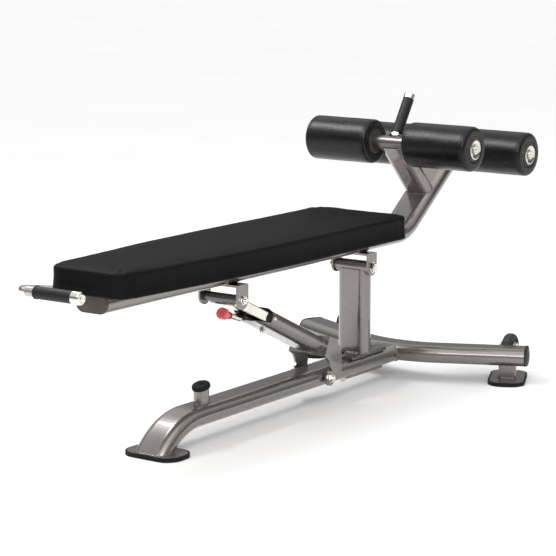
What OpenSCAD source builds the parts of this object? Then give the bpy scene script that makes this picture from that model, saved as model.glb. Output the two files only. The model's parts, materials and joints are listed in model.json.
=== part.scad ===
// Adjustable decline sit-up bench.
// +X runs from the head end to the foot rollers, +Z is up, and the floor is z = 0.
// The origin is on the floor, on the plane of symmetry, midway along the bench.

/* [Frame tubes] */
// Width of the flat-oval frame tube
tube_w = 100; // [90:1:110]
// Thickness of the flat-oval frame tube
tube_t = 50; // [44:1:54]
// Wall of the frame tube
tube_wall = 3; // [2:0.5:4]

/* [Base] */
// Height of the main beam's centreline above the floor
beam_z = 76; // [70:1:90]
// Centreline radius of the main beam's bend at the front foot
beam_bend_r = 201; // [180:1:220]
// Where the front bend of the main beam starts
beam_bend_x = -442; // [-460:1:-420]
// Height of the stabiliser's centreline above the floor
stabiliser_z = 79; // [74:1:88]
// Back-sweep of each stabiliser arm
sweep_angle = 24.9; // [20:0.1:30]
// Centreline radius of the stabiliser's middle bend
stabiliser_r = 350; // [300:5:400]
// Half the span of the stabiliser, to the middle of each arm's end
stabiliser_half = 374; // [360:1:400]
// Distance from the plane of symmetry to a rear foot
rear_foot_y = 328; // [310:1:335]
// Width of a foot plate across its short side
foot_w = 98; // [85:1:110]
// Length of the front foot plate
front_foot_l = 160; // [140:1:180]
// Length of a rear foot plate
rear_foot_l = 178; // [150:1:190]
// Outer diameter of a transport wheel
wheel_d = 72; // [60:1:80]
// Distance from the plane of symmetry to a wheel
wheel_y = 293; // [280:1:298]

/* [Column and pivot] */
// Where the column stands along the beam
column_x = 344; // [335:1:350]
// Distance along X to the bench pivot
pivot_x = 338; // [330:1:345]
// Height of the bench pivot
pivot_z = 360; // [350:1:370]

/* [Bench] */
// Height of the bench rail's centreline at rest
rail_z = 427; // [420:1:440]
// Slope of the bench at rest, head end up
bench_rise = 0.5; // [0:0.1:1]
// Upsweep of the foot-roller upright from the rail
upright_angle = 36.7; // [30:0.1:40]
// Where the rail's upward bend starts
rail_bend_x = 523; // [505:1:530]
// Length of the pad
pad_len = 1245; // [1180:1:1260]
// Half width of the pad at the seat
pad_seat_half = 163; // [150:1:170]
// Half width of the pad at the head
pad_head_half = 121; // [110:1:130]
// Height of the pad's top surface
pad_top = 516; // [510:1:525]

/* [Rollers] */
// Outer diameter of a foam roller
roller_d = 130; // [120:1:135]
// Length of a foam roller
roller_len = 213; // [190:1:220]
// Gap between the plane of symmetry and a roller
roller_gap = 60; // [55:1:70]

/* [Strut] */
// Slope of the strut below the horizontal, towards its foot
strut_angle = 25.4; // [24:0.1:27]
// Distance along the strut from its top pivot to the sleeve's mouth
sleeve_mouth = 168; // [160:1:175]
// Distance along the strut from its top pivot to the sleeve's foot plate
sleeve_end = 444; // [440:1:450]
// Length of the inner strut tube
inner_len = 318; // [300:1:320]

/* [Hidden] */

$fn = 64;
eps = 0.01;
tube_r = tube_t / 2;
beam_top = beam_z + tube_r;
beam_bottom = beam_z - tube_r;
plate_t = 8;
weld_gap = 0.05;

// Foot shoe and plate
shoe_base = 7;
shoe_rim = 5;
foot_plate_t = 4;
foot_top = shoe_base + foot_plate_t;
foot_corner = 38;
front_foot_x = -577;
rear_foot_back = 22;

// Stabiliser plan: its middle arc is tangent to both arms
arm_x0 = 508;
arc_x = arm_x0 + stabiliser_r / cos(sweep_angle);
arm_start_y = stabiliser_r * sin(sweep_angle);
arm_start_x = arc_x - stabiliser_r * cos(sweep_angle);
arm_len = (stabiliser_half - arm_start_y) / cos(sweep_angle);
rear_foot_x = arm_x0 + rear_foot_y * tan(sweep_angle);
cap_bulge = 14;
cap_dome_r = 110;
wheel_x = 738;
wheel_z = 91;
wheel_w = 28;
wheel_edge = 11;
wheel_bolt_r = 5;
wheel_gap = 1.2;
bracket_t = 6;

// Column
column_foot = beam_top + plate_t;
column_top = 352;
base_plate_x0 = 263;
base_plate_len = 180;
under_plate_t = 6;
base_plate_w = 90;
under_plate_w = 64;
column_bolt_x = [283, 424];
column_lid_t = 3;

// Pivots: eye brackets hang below the rail
pivot_tube_r = 18;
pivot_half = 54.4;
ear_in = 56.8;
strut_ear_in = 58.8;
ear_t = 6;
bush_lip = 2;
pivot_pin_r = 8;
run_gap = 0.05;
rail_bottom = rail_z - tube_r;
rail_top = rail_z + tube_r;
strut_top_x = -290;
strut_top_z = 361.6;
strut_pin = [-291.5, 365.5];
strut_top_eye = in_bench(strut_pin);
strut_tube_r = 13;
strut_pin_r = 5;
strut_tube_bore = 9;
foot_pin = [128, 76];
foot_pin_r = 6;
foot_ear_in = 55;
foot_ear_t = 7;
cross_half = 54.7;

// Bench rail, bend and upright
rail_x0 = -825;
rail_bend_r = 130;
bend_end_x = rail_bend_x + rail_bend_r * sin(upright_angle);
bend_end_z = rail_z + rail_bend_r * (1 - cos(upright_angle));
foot_axis = in_bench([869, 645]);
knee_axis = in_bench([545, 693]);
knee_joint = in_bench([706, 524.6]);
knee_arm_w = tube_w - 16;
upright_len = norm([foot_axis[0] - bend_end_x, foot_axis[1] - bend_end_z]);
knee_len = norm([knee_joint[0] - knee_axis[0], knee_axis[1] - knee_joint[1]]);
knee_slope = atan2(knee_axis[1] - knee_joint[1], knee_joint[0] - knee_axis[0]);

// Pad
pad_x0 = -861;
strap_t = 3;
board_bottom = rail_top + strap_t;
board_t = 15;
pad_bottom = rail_top - 3;
pad_corner = 42;
board_inset = 7;
strap_x = [-700, -200, 250];
strap_w = 60;
strap_half = 96;
pad_bolt_y = 76;

// Rollers
roller_r = roller_d / 2;
roller_tube_r = 20.5;
hub_r = 25;
hub_flange_r = 36;
hub_flange_t = 3;
roller_edge = 11;
roller_out = roller_gap + roller_len;
end_cap_r = 29;

// Handles
grip_r = 15.7;
cap_r = 16.8;
handle_r = 13;
handle_tilt = 9.5;
handle_x = -916.1;
handle_z = 456;
handle_out = 160;
handle_tip = 18;
handle_bend = 30;
handle_leg = 165;
knee_handle_lean = 33;
knee_handle_r = 12;
knee_handle_len = 159;

// Strut: local X runs down the strut from its top pivot, local Z is square to it
foot_s = (foot_pin[0] - strut_top_x) * cos(strut_angle) + (strut_top_z - foot_pin[1]) * sin(strut_angle);
foot_t = (foot_pin[0] - strut_top_x) * sin(strut_angle) - (strut_top_z - foot_pin[1]) * cos(strut_angle);
inner_w = 83;
inner_t = 29;
inner_wall = 2.5;
inner_corner = 3.5;
web_t = 8;
tongue_tip = sleeve_mouth - 54;
lock_s = 206;
lock_r = 6;
pull_tilt = 6.6;
knob_s = 8.7;
knob_t = -37;
barrel_r = 8.5;

// Where a point given in the bench's rest pose lies before the bench is tilted up by its rise
function in_bench(p) = [
    pivot_x + (p[0] - pivot_x) * cos(bench_rise) - (p[1] - pivot_z) * sin(bench_rise),
    pivot_z + (p[0] - pivot_x) * sin(bench_rise) + (p[1] - pivot_z) * cos(bench_rise)
];

paint = [0.42, 0.40, 0.38];
black = [0.08, 0.08, 0.08];
chrome = [0.80, 0.80, 0.82];
vinyl = [0.05, 0.05, 0.05];

// ---- shared shapes ----

// Flat-oval outline: w across local X, t across local Y
module oval(w, t) {
    square([w - t, t], center = true);
    for (side = [-1, 1])
        translate([side * (w - t) / 2, 0]) circle(d = t);
}

module oval_ring(w, t, wall) {
    difference() {
        oval(w, t);
        oval(w - 2 * wall, t - 2 * wall);
    }
}

// Runs its children's XY outline along +X, with local X of the outline along Y
module along_x(len) {
    rotate([90, 0, 90]) linear_extrude(len) children();
}

// Turns about a centre in the XZ plane, from angle a0 through da, anticlockwise seen from -Y
module bend_xz(r, a0, da) {
    rotate([90, 0, 0]) rotate(a0) rotate_extrude(angle = da, $fn = 96)
        translate([r, 0]) rotate(90) children();
}

// Cylinder along Y, centred on y = 0
module rod_y(r, half) {
    rotate([90, 0, 0]) cylinder(r = r, h = 2 * half, center = true);
}

// Hexagon head or nut on the Y axis, from y0 outwards on one side
module hex_y(across, h, y0, side) {
    translate([0, side * (y0 + h / 2), 0]) rotate([90, 0, 0])
        cylinder(d = across / cos(30), h = h, center = true, $fn = 6);
}

module washer_y(r, h, y0, side) {
    translate([0, side * (y0 + h / 2), 0]) rotate([90, 0, 0]) cylinder(r = r, h = h, center = true);
}

// Bolt through along Y: shank, washers and hexagons at both ends
module through_bolt(shank_r, seat, across, washer_r) {
    rod_y(shank_r, seat + 12);
    for (side = [-1, 1]) {
        washer_y(washer_r, 2, seat, side);
        hex_y(across, shank_r * 1.1, seat + 2, side);
    }
}

module at(p) {
    translate([p[0], 0, p[1]]) children();
}

// Tilts what belongs to the bench up by its rise, about the bench pivot
module bench_frame() {
    at([pivot_x, pivot_z]) rotate([0, bench_rise, 0]) at([-pivot_x, -pivot_z]) children();
}

module mirror_y() {
    for (side = [0, 1]) mirror([0, side, 0]) children();
}

// ---- base ----

module beam_outer(w, t) {
    at([beam_bend_x, beam_z]) along_x(560 - beam_bend_x) oval(w, t);
    at([beam_bend_x, beam_z - beam_bend_r]) bend_xz(beam_bend_r, 90, 62) oval(w, t);
}

module main_beam() color(paint) difference() {
    beam_outer(tube_w, tube_t);
    beam_outer(tube_w - 2 * tube_wall, tube_t - 2 * tube_wall);
    translate([beam_bend_x - 400, -100, foot_top - 150]) cube([400, 200, 150]);
    for (z = [beam_z, stabiliser_z]) stabiliser_solid(z, tube_w + 2 * weld_gap, tube_t + 2 * weld_gap, 0);
    at(foot_pin) rod_y(10, 60);
    for (x = column_bolt_x) translate([x, 0, beam_bottom - 5]) cylinder(r = 6, h = tube_t + 10);
}

// Rectangle with round corners: w across X, l across Y
module round_rect(w, l, r) {
    x = w / 2 - r;
    y = l / 2 - r;
    square([w, 2 * y], center = true);
    square([2 * x, l], center = true);
    for (i = [-1, 1], j = [-1, 1]) translate([i * x, j * y]) circle(r = r);
}

module foot_plate(l) {
    translate([0, 0, shoe_base]) linear_extrude(foot_plate_t) round_rect(foot_w, l, foot_corner);
}

module foot_rubber(l) {
    difference() {
        linear_extrude(foot_top - 0.3)
            round_rect(foot_w + 2 * shoe_rim, l + 2 * shoe_rim, foot_corner + shoe_rim);
        translate([0, 0, shoe_base]) linear_extrude(foot_top) round_rect(foot_w, l, foot_corner);
    }
}

module front_foot_plate() color(paint) translate([front_foot_x, 0, 0]) foot_plate(front_foot_l);

module front_foot_rubber() color(black) translate([front_foot_x, 0, 0]) foot_rubber(front_foot_l);

bump_x = -390;
bump_r = 21;
bump_seat = 41;
bump_tilt = 18.6;

// Frame of the post's sloping top, which faces the rail when the bench is let down
module bump_top() {
    translate([0, 0, bump_seat]) rotate([0, -bump_tilt, 0]) children();
}

module bump_post() color(paint) translate([bump_x, 0, beam_top]) difference() {
    cylinder(r = bump_r, h = bump_seat + 20);
    translate([0, 0, 3]) cylinder(r = bump_r - tube_wall, h = bump_seat + 20);
    bump_top() translate([-50, -50, 0]) cube([100, 100, 60]);
}

// Domed rubber cap with a plug in the post
module bump_cap() color(black) translate([bump_x, 0, beam_top]) {
    translate([0, 0, 20]) cylinder(r = bump_r - tube_wall - 0.1, h = 14);
    translate([0, 0, 34]) cylinder(r = 14, h = 12);
    bump_top() rotate_extrude() polygon([
        [0, 0], [bump_r + 4, 0], [bump_r + 4, 5],
        for (a = [15 : 15 : 75]) [bump_r - 4 + 8 * cos(a), 5 + 6 * sin(a)],
        [6, 11.3], [5, 9], [0, 9]
    ]);
}

// Closed at the top, where the pivot tube is welded in
module column() color(paint) difference() {
    union() {
        translate([column_x, 0, column_foot]) linear_extrude(column_top - column_foot)
            rotate(90) oval_ring(tube_w, tube_t, tube_wall);
        translate([column_x, 0, column_top - column_lid_t]) linear_extrude(column_lid_t)
            rotate(90) oval(tube_w, tube_t);
    }
    at([pivot_x, pivot_z]) rod_y(pivot_tube_r + weld_gap, 70);
}

module plate_with_bolt_holes(z, t, w) {
    difference() {
        translate([base_plate_x0, -w / 2, z]) cube([base_plate_len, w, t]);
        for (x = column_bolt_x) translate([x, 0, z - 1]) cylinder(r = 6.5, h = t + 2);
    }
}

module column_base_plate() color(paint) plate_with_bolt_holes(beam_top, plate_t, base_plate_w);

module column_under_plate() color(paint)
    plate_with_bolt_holes(beam_bottom - under_plate_t, under_plate_t, under_plate_w);

module column_bolts() color(chrome) for (x = column_bolt_x) translate([x, 0, 0]) {
    translate([0, 0, beam_bottom - under_plate_t - 16])
        cylinder(r = 5.9, h = tube_t + plate_t + under_plate_t + 26);
    translate([0, 0, column_foot]) cylinder(r = 12, h = 2);
    translate([0, 0, column_foot + 2]) cylinder(d = 19 / cos(30), h = 8, $fn = 6);
    translate([0, 0, beam_bottom - under_plate_t - 2]) cylinder(r = 12, h = 2);
    translate([0, 0, beam_bottom - under_plate_t - 12]) cylinder(d = 19 / cos(30), h = 10, $fn = 6);
}

module pivot_tube() color(paint) at([pivot_x, pivot_z]) difference() {
    rod_y(pivot_tube_r, pivot_half);
    rod_y(pivot_tube_r - 5, pivot_half + 1);
}

// Flanged bearing bushes in both ends of the pivot tube
module pivot_bushes() color([0.70, 0.58, 0.30]) at([pivot_x, pivot_z]) mirror_y() difference() {
    union() {
        translate([0, pivot_half - 24, 0]) rotate([-90, 0, 0]) cylinder(r = pivot_tube_r - 5, h = 24);
        translate([0, pivot_half, 0]) rotate([-90, 0, 0]) cylinder(r = pivot_tube_r - 1, h = bush_lip);
    }
    rod_y(pivot_pin_r + run_gap, 70);
}

module strut_cross_tube() color(paint) at(foot_pin) difference() {
    rod_y(10 - eps, cross_half);
    rod_y(foot_pin_r + 0.2, 60);
}

module strut_foot_bolt() color(chrome) at(foot_pin)
    through_bolt(foot_pin_r, foot_ear_in + foot_ear_t + 0.4, 19, 12);

// Boomerang stabiliser at height z: w and t are its section, extra lengthens each arm
module stabiliser_solid(z, w, t, extra) {
    translate([arc_x, 0, z]) rotate(180 - sweep_angle)
        rotate_extrude(angle = 2 * sweep_angle, $fn = 128) translate([stabiliser_r, 0]) oval(w, t);
    mirror_y() translate([arm_start_x, arm_start_y, z]) rotate(-sweep_angle)
        rotate([-90, 0, 0]) linear_extrude(arm_len + extra) oval(w, t);
}

module rear_stabiliser() color(paint) difference() {
    stabiliser_solid(stabiliser_z, tube_w, tube_t, 0);
    stabiliser_solid(stabiliser_z, tube_w - 2 * tube_wall, tube_t - 2 * tube_wall, 1);
}

module arm_end() {
    mirror_y() translate([arm_start_x, arm_start_y, stabiliser_z]) rotate(-sweep_angle)
        translate([0, arm_len, 0]) rotate([-90, 0, 0]) children();
}

// Domed plugs in the ends of the stabiliser
module stabiliser_end_caps() color(black) arm_end() {
    intersection() {
        linear_extrude(20) oval(tube_w + 1, tube_t + 1);
        translate([0, 0, cap_bulge - cap_dome_r]) sphere(r = cap_dome_r, $fn = 96);
    }
    translate([0, 0, -12]) linear_extrude(12) oval_ring(tube_w - 2 * tube_wall - 0.4, tube_t - 2 * tube_wall - 0.4, 2.5);
}

// Local X runs along the arm and local Y forwards: the feet sit under its rear half
module at_rear_feet() {
    mirror_y() translate([rear_foot_x, rear_foot_y, 0]) rotate(90 - sweep_angle)
        translate([0, -rear_foot_back, 0]) children();
}

module rear_foot_legs() color(paint) difference() {
    at_rear_feet() translate([0, 0, foot_top]) linear_extrude(stabiliser_z - 10 - foot_top) difference() {
        round_rect(52, 46, 8);
        round_rect(46, 40, 5);
    }
    stabiliser_solid(stabiliser_z, tube_w + 2 * weld_gap, tube_t + 2 * weld_gap, 0);
}

module rear_foot_plates() color(paint) at_rear_feet() foot_plate(rear_foot_l);

module rear_foot_rubbers() color(black) at_rear_feet() foot_rubber(rear_foot_l);

// One plate behind the stabiliser on the inner side of each wheel
module wheel_brackets() color(paint) difference() {
    mirror_y() translate([0, wheel_y - wheel_w / 2 - wheel_gap, 0]) rotate([90, 0, 0])
        linear_extrude(bracket_t) difference() {
            union() {
                translate([wheel_x, wheel_z]) circle(r = 13);
                polygon([
                    [wheel_x - 89, 60], [wheel_x - 8, wheel_z - 11], [wheel_x - 6, wheel_z + 11.5],
                    [wheel_x - 64, 84], [wheel_x - 89, 84]
                ]);
            }
            translate([wheel_x, wheel_z]) circle(r = wheel_bolt_r + 0.1);
        }
    stabiliser_solid(stabiliser_z, tube_w + 2 * weld_gap, tube_t + 2 * weld_gap, 0);
}

// Axle bolt of a wheel: head and washer outside the wheel, nut behind the bracket
module wheel_bolts() color(chrome) mirror_y() translate([wheel_x, wheel_y, wheel_z]) {
    translate([0, -wheel_w / 2 - wheel_gap - bracket_t - 9, 0]) rotate([-90, 0, 0])
        cylinder(r = wheel_bolt_r, h = wheel_w + wheel_gap + bracket_t + 12);
    washer_y(11, 2, wheel_w / 2 + 0.6, 1);
    hex_y(17, 6, wheel_w / 2 + 2.6, 1);
    hex_y(17, 7, wheel_w / 2 + wheel_gap + bracket_t, -1);
}

module wheel(side) {
    translate([wheel_x, side * wheel_y, wheel_z]) rotate([90, 0, 0]) rotate_extrude(convexity = 4)
        difference() {
            union() {
                translate([0, -wheel_w / 2]) square([wheel_d / 2 - wheel_edge, wheel_w]);
                translate([0, wheel_edge - wheel_w / 2]) square([wheel_d / 2, wheel_w - 2 * wheel_edge]);
                for (s = [-1, 1]) translate([wheel_d / 2 - wheel_edge, s * (wheel_w / 2 - wheel_edge)])
                    circle(r = wheel_edge);
            }
            translate([-20, -wheel_w]) square([20 + wheel_bolt_r + run_gap, 2 * wheel_w]);
            for (s = [-1, 1]) translate([13, s * (wheel_w / 2 - 1) - 2]) square([10, 4]);
        }
}

module wheel_left() color([0.16, 0.18, 0.17]) wheel(1);

module wheel_right() color([0.16, 0.18, 0.17]) wheel(-1);

// ---- bench ----

module bench_rail() color(paint) bench_frame() {
    at([rail_x0, rail_z]) along_x(rail_bend_x - rail_x0) oval_ring(tube_w, tube_t, tube_wall);
    at([rail_bend_x, rail_z + rail_bend_r]) bend_xz(rail_bend_r, -90, upright_angle)
        oval_ring(tube_w, tube_t, tube_wall);
}

module rail_end_cap() color([0.20, 0.19, 0.16]) bench_frame() at([rail_x0, rail_z]) {
    translate([-6, 0, 0]) along_x(6) oval(tube_w, tube_t);
    along_x(14) oval_ring(tube_w - 2 * tube_wall - 0.4, tube_t - 2 * tube_wall - 0.4, 2.5);
}

module upright_solid(w, t) {
    at([bend_end_x, bend_end_z]) rotate([0, -upright_angle, 0]) along_x(upright_len) oval(w, t);
}

module roller_upright() color(paint) bench_frame() difference() {
    upright_solid(tube_w, tube_t);
    upright_solid(tube_w - 2 * tube_wall, tube_t - 2 * tube_wall);
    at(foot_axis) rod_y(roller_tube_r + weld_gap, 70);
}

module knee_arm_solid(w, t) {
    at(knee_axis) rotate([0, knee_slope, 0]) along_x(knee_len) oval(w, t);
}

module knee_arm() color(paint) bench_frame() difference() {
    knee_arm_solid(knee_arm_w, tube_t);
    knee_arm_solid(knee_arm_w - 2 * tube_wall, tube_t - 2 * tube_wall);
    upright_solid(tube_w + 2 * weld_gap, tube_t + 2 * weld_gap);
    at(knee_axis) rod_y(roller_tube_r + weld_gap, 70);
}

// U bracket below the rail: a top plate and two round-ended ears drilled for a pin
module eye_bracket(inner, drop, ear_w, pin_r) {
    difference() {
        mirror_y() translate([0, inner + ear_t, 0]) rotate([90, 0, 0]) linear_extrude(ear_t) {
            circle(d = ear_w);
            translate([-ear_w / 2, 0]) square([ear_w, drop]);
        }
        rod_y(pin_r + 0.2, 80);
    }
    translate([-ear_w / 2, -inner - eps, drop - ear_t]) cube([ear_w, 2 * inner + 2 * eps, ear_t]);
}

module bench_pivot_bracket() color(paint) bench_frame() at([pivot_x, pivot_z])
    eye_bracket(ear_in, rail_bottom - pivot_z, 46, pivot_pin_r);

module bench_pivot_bolt() color(chrome) at([pivot_x, pivot_z])
    through_bolt(pivot_pin_r, ear_in + ear_t, 24, 16);

module strut_top_bracket() color(paint) bench_frame() at(strut_top_eye)
    eye_bracket(strut_ear_in, rail_bottom - strut_top_eye[1], 48, strut_pin_r);

module strut_top_bolt() color(chrome) at(strut_pin)
    through_bolt(strut_pin_r, strut_ear_in + ear_t, 19, 12.5);

module pad_brackets() color(paint) bench_frame() for (x = strap_x) difference() {
    translate([x - strap_w / 2, -strap_half, rail_top]) cube([strap_w, 2 * strap_half, strap_t]);
    for (s = [-1, 1]) translate([x, s * pad_bolt_y, rail_top - 1]) cylinder(r = 4.5, h = strap_t + 2);
}

module pad_bolts() color(chrome) bench_frame() for (x = strap_x, s = [-1, 1])
    translate([x, s * pad_bolt_y, rail_top]) {
        cylinder(r = 4, h = strap_t + 12);
        translate([0, 0, -1.6]) cylinder(r = 9, h = 1.6);
        translate([0, 0, -6.6]) cylinder(d = 13 / cos(30), h = 5, $fn = 6);
    }

// Pad half width at a distance from the head end
function pad_half(d) =
    pad_head_half + (pad_seat_half - pad_head_half) * sin(90 * min(1, max(0, d / (0.56 * pad_len))));

// Plan outline of the pad, drawn in by an inset, with quarter-round corners
module pad_outline(inset) {
    r = pad_corner - inset;
    len = pad_len - 2 * inset;
    side = [
        for (a = [90 : -15 : 0]) [r - r * sin(a), pad_half(0) - inset - r + r * cos(a)],
        for (i = [1 : 9]) let (d = r + (len - 2 * r) * i / 10) [d, pad_half(d) - inset],
        for (a = [0 : 15 : 90]) [len - r + r * sin(a), pad_half(len) - inset - r + r * cos(a)]
    ];
    count = len(side);
    translate([pad_x0 + inset, 0]) polygon([
        for (p = side) p,
        for (i = [count - 1 : -1 : 0]) [side[i][0], -side[i][1]]
    ]);
}

module pad_board() color([0.55, 0.42, 0.28]) bench_frame() difference() {
    translate([0, 0, board_bottom]) linear_extrude(board_t) pad_outline(board_inset);
    for (x = strap_x, s = [-1, 1]) translate([x, s * pad_bolt_y, board_bottom - 1]) cylinder(r = 4.1, h = 14);
}

// Foam and cover: its rim hangs round the board's edge, notched where it crosses the rail
module pad_cushion() color(vinyl) bench_frame() difference() {
    translate([0, 0, pad_bottom]) linear_extrude(pad_top - pad_bottom) pad_outline(0);
    translate([0, 0, pad_bottom - 1]) linear_extrude(board_bottom + board_t - pad_bottom + 1)
        pad_outline(board_inset - 0.1);
    translate([0, -tube_w / 2, pad_bottom - 1]) cube([500, tube_w, rail_top - pad_bottom + 1.3]);
}

// L-shaped handle at the head: grip across the bench, leg down the far side to the rail
module handle_frame() {
    bench_frame() translate([handle_x, 0, handle_z]) rotate([0, handle_tilt, 0]) children();
}

module handle_corner(angle) {
    rotate(angle) rotate_extrude(angle = 90) translate([handle_bend, 0]) circle(r = handle_r);
}

module head_handle_tube() color([0.50, 0.49, 0.48]) difference() {
    handle_frame() {
        translate([0, -handle_tip, 0]) rotate([-90, 0, 0])
            cylinder(r = handle_r, h = handle_out - handle_bend + handle_tip);
        translate([handle_bend, handle_out - handle_bend, 0]) handle_corner(90);
        translate([handle_bend, handle_out, 0]) rotate([0, 90, 0]) cylinder(r = handle_r, h = handle_leg - handle_bend);
        translate([handle_leg, handle_out - handle_bend, 0]) handle_corner(0);
        translate([handle_leg + handle_bend, 0, 0]) rotate([-90, 0, 0]) cylinder(r = handle_r, h = handle_out - handle_bend);
    }
    bench_frame() at([rail_x0 - 20, rail_z]) along_x(400) oval(tube_w + 2 * weld_gap, tube_t + 2 * weld_gap);
}

module grip_sleeve(y0, y1, r, bore) {
    translate([0, y0, 0]) rotate([-90, 0, 0]) difference() {
        rotate_extrude() polygon([
            [0, 0], [r - 1, 0], [r, 1], [r, y1 - y0 - 6], [r + 1.2, y1 - y0 - 5],
            [r + 1.2, y1 - y0 - 1], [r + 0.2, y1 - y0], [0, y1 - y0]
        ]);
        translate([0, 0, -1]) cylinder(r = bore, h = y1 - y0 + 2);
    }
}

module head_handle_grip() color(black) handle_frame() grip_sleeve(-handle_tip + 1, 102, grip_r + 0.3, handle_r + eps);

// Side outline of a round cap of length h, with a dished face and a button in its middle
module cap_profile(h) {
    polygon([
        [0, 0], [cap_r, 0], [cap_r, h - 5],
        for (a = [15 : 15 : 90]) [cap_r - 5 + 5 * cos(a), h - 5 + 5 * sin(a)],
        [10.5, h], [9, h - 1.8], [5, h - 1.8], [4.5, h + 0.6], [0, h + 0.6]
    ]);
}

module head_handle_cap() color(chrome) handle_frame() translate([0, -handle_tip, 0]) rotate([90, 0, 0])
    rotate_extrude() cap_profile(25.4);

module roller_tube(len_half) {
    difference() {
        rod_y(roller_tube_r, len_half);
        rod_y(roller_tube_r - 2.5, len_half + 1);
    }
}

roller_tube_half = roller_out - 4;

module knee_roller_tube() color([0.25, 0.22, 0.21]) bench_frame() at(knee_axis) roller_tube(roller_tube_half);

module foot_roller_tube() color([0.25, 0.22, 0.21]) bench_frame() at(foot_axis) roller_tube(roller_tube_half);

module knee_handle_frame() {
    bench_frame() at(knee_axis) rotate([0, knee_handle_lean, 0]) children();
}

module knee_handle_tube() color([0.50, 0.49, 0.48]) difference() {
    knee_handle_frame() {
        cylinder(r = knee_handle_r, h = knee_handle_len - 14);
        translate([0, 0, roller_tube_r - 4]) cylinder(r = 16, h = 13);
    }
    bench_frame() at(knee_axis) rod_y(roller_tube_r + weld_gap, 70);
    bench_frame() knee_arm_solid(knee_arm_w + 2 * weld_gap, tube_t + 2 * weld_gap);
}

module knee_handle_grip() color(black) knee_handle_frame() translate([0, 0, roller_tube_r + 11])
    rotate_extrude() polygon([
        [knee_handle_r + eps, 0], [grip_r + 1.2, 0], [grip_r + 2.2, 1], [grip_r + 2.2, 5], [grip_r + 0.4, 6.5],
        [grip_r + 0.4, 112], [grip_r - 0.6, 113], [knee_handle_r + eps, 113]
    ]);

module knee_handle_cap() color(chrome) knee_handle_frame() translate([0, 0, knee_handle_len - 14 + eps])
    rotate_extrude() cap_profile(17.4);

module at_roller_ends() {
    for (axis = [knee_axis, foot_axis]) bench_frame() at(axis) mirror_y() children();
}

// Dished chrome caps, plugged into the ends of the roller tubes
module roller_end_caps() color(chrome) at_roller_ends() translate([0, roller_tube_half, 0]) rotate([-90, 0, 0])
    rotate_extrude() polygon([
        [5, -12], [roller_tube_r - 2.6, -12], [roller_tube_r - 2.6, 0.2], [roller_tube_r - 0.1, 0.2],
        [roller_tube_r - 0.1, 4.4], [end_cap_r, 4.4], [end_cap_r, 7], [end_cap_r - 3, 8],
        [15, 5.5], [14, 8.5], [5, 8.5]
    ]);

module roller_end_bolts() color(chrome) at_roller_ends() translate([0, roller_tube_half, 0]) rotate([-90, 0, 0])
    difference() {
        union() {
            translate([0, 0, -22]) cylinder(r = 4.9, h = 32);
            translate([0, 0, 8.6]) cylinder(r = 10, h = 5);
        }
        translate([0, 0, 10.5]) cylinder(d = 8 / cos(30), h = 4, $fn = 6);
    }

// Foam sleeve of a roller: side is +1 for left, -1 for right
module foam(axis, side) {
    bench_frame() at(axis) translate([0, side * (roller_gap + roller_len / 2), 0]) rotate([90, 0, 0]) rotate_extrude()
        difference() {
            translate([0, -roller_len / 2]) polygon([
                [hub_r + eps, 0], [roller_r - roller_edge, 0],
                for (a = [-75 : 15 : 0]) [roller_r - roller_edge * (1 - cos(a)), roller_edge * (1 + sin(a))],
                for (a = [0 : 15 : 90])
                    [roller_r - roller_edge * (1 - cos(a)), roller_len - roller_edge * (1 - sin(a))],
                [hub_r + eps, roller_len]
            ]);
            for (s = [-1, 1]) translate([0, s * roller_len / 2 - 4]) square([hub_flange_r + 0.2, 8]);
        }
}

// Hub of a roller: a sleeve on the tube with a flange let into each end of the foam
module hub(axis, side) {
    bench_frame() at(axis) translate([0, side * (roller_gap + roller_len / 2), 0]) rotate([90, 0, 0]) difference() {
        union() {
            cylinder(r = hub_r, h = roller_len - 8, center = true);
            for (s = [-1, 1]) translate([0, 0, s * (roller_len / 2 - 4 + hub_flange_t / 2)])
                cylinder(r = hub_flange_r, h = hub_flange_t, center = true);
        }
        cylinder(r = roller_tube_r + run_gap, h = roller_len + 2, center = true);
    }
}

module knee_roller_left() color(vinyl) foam(knee_axis, 1);

module knee_roller_right() color(vinyl) foam(knee_axis, -1);

module foot_roller_left() color(vinyl) foam(foot_axis, 1);

module foot_roller_right() color(vinyl) foam(foot_axis, -1);

module roller_hubs_knee_left() color([0.12, 0.09, 0.08]) hub(knee_axis, 1);

module roller_hubs_knee_right() color([0.12, 0.09, 0.08]) hub(knee_axis, -1);

module roller_hubs_foot_left() color([0.12, 0.09, 0.08]) hub(foot_axis, 1);

module roller_hubs_foot_right() color([0.12, 0.09, 0.08]) hub(foot_axis, -1);

// ---- strut ----

module strut_frame() {
    translate([strut_top_x, 0, strut_top_z]) rotate([0, strut_angle, 0]) children();
}

// Outline in the strut's side plane, extruded across Y from y0 to y0 + t
module side_plate(y0, t) {
    translate([0, y0 + t, 0]) rotate([90, 0, 0]) linear_extrude(t) children();
}

// The sleeve's lower wall reaches on past its mouth, as a tongue under the pull pin
module strut_sleeve() color(paint) strut_frame() difference() {
    translate([tongue_tip, 0, 0]) along_x(sleeve_end - tongue_tip) oval_ring(tube_w, tube_t, tube_wall);
    side_plate(-60, 120) mouth_cut(sleeve_mouth, -12);
    translate([lock_s, 0, -tube_r - 5]) cylinder(r = lock_r + 0.3, h = 10);
}

// Side outline of a foot ear: it bulges away from the web and narrows to the pin
module foot_ear_outline() {
    difference() {
        intersection() {
            translate([448, -66]) circle(r = 99);
            polygon([[sleeve_end, 28], [560, 28], [560, -38], [519, -88], [501, -96], [499, -58], [sleeve_end, -29]]);
        }
        translate([452, -70]) circle(r = 38);
    }
    translate([foot_s, foot_t]) circle(r = 21);
}

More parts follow.
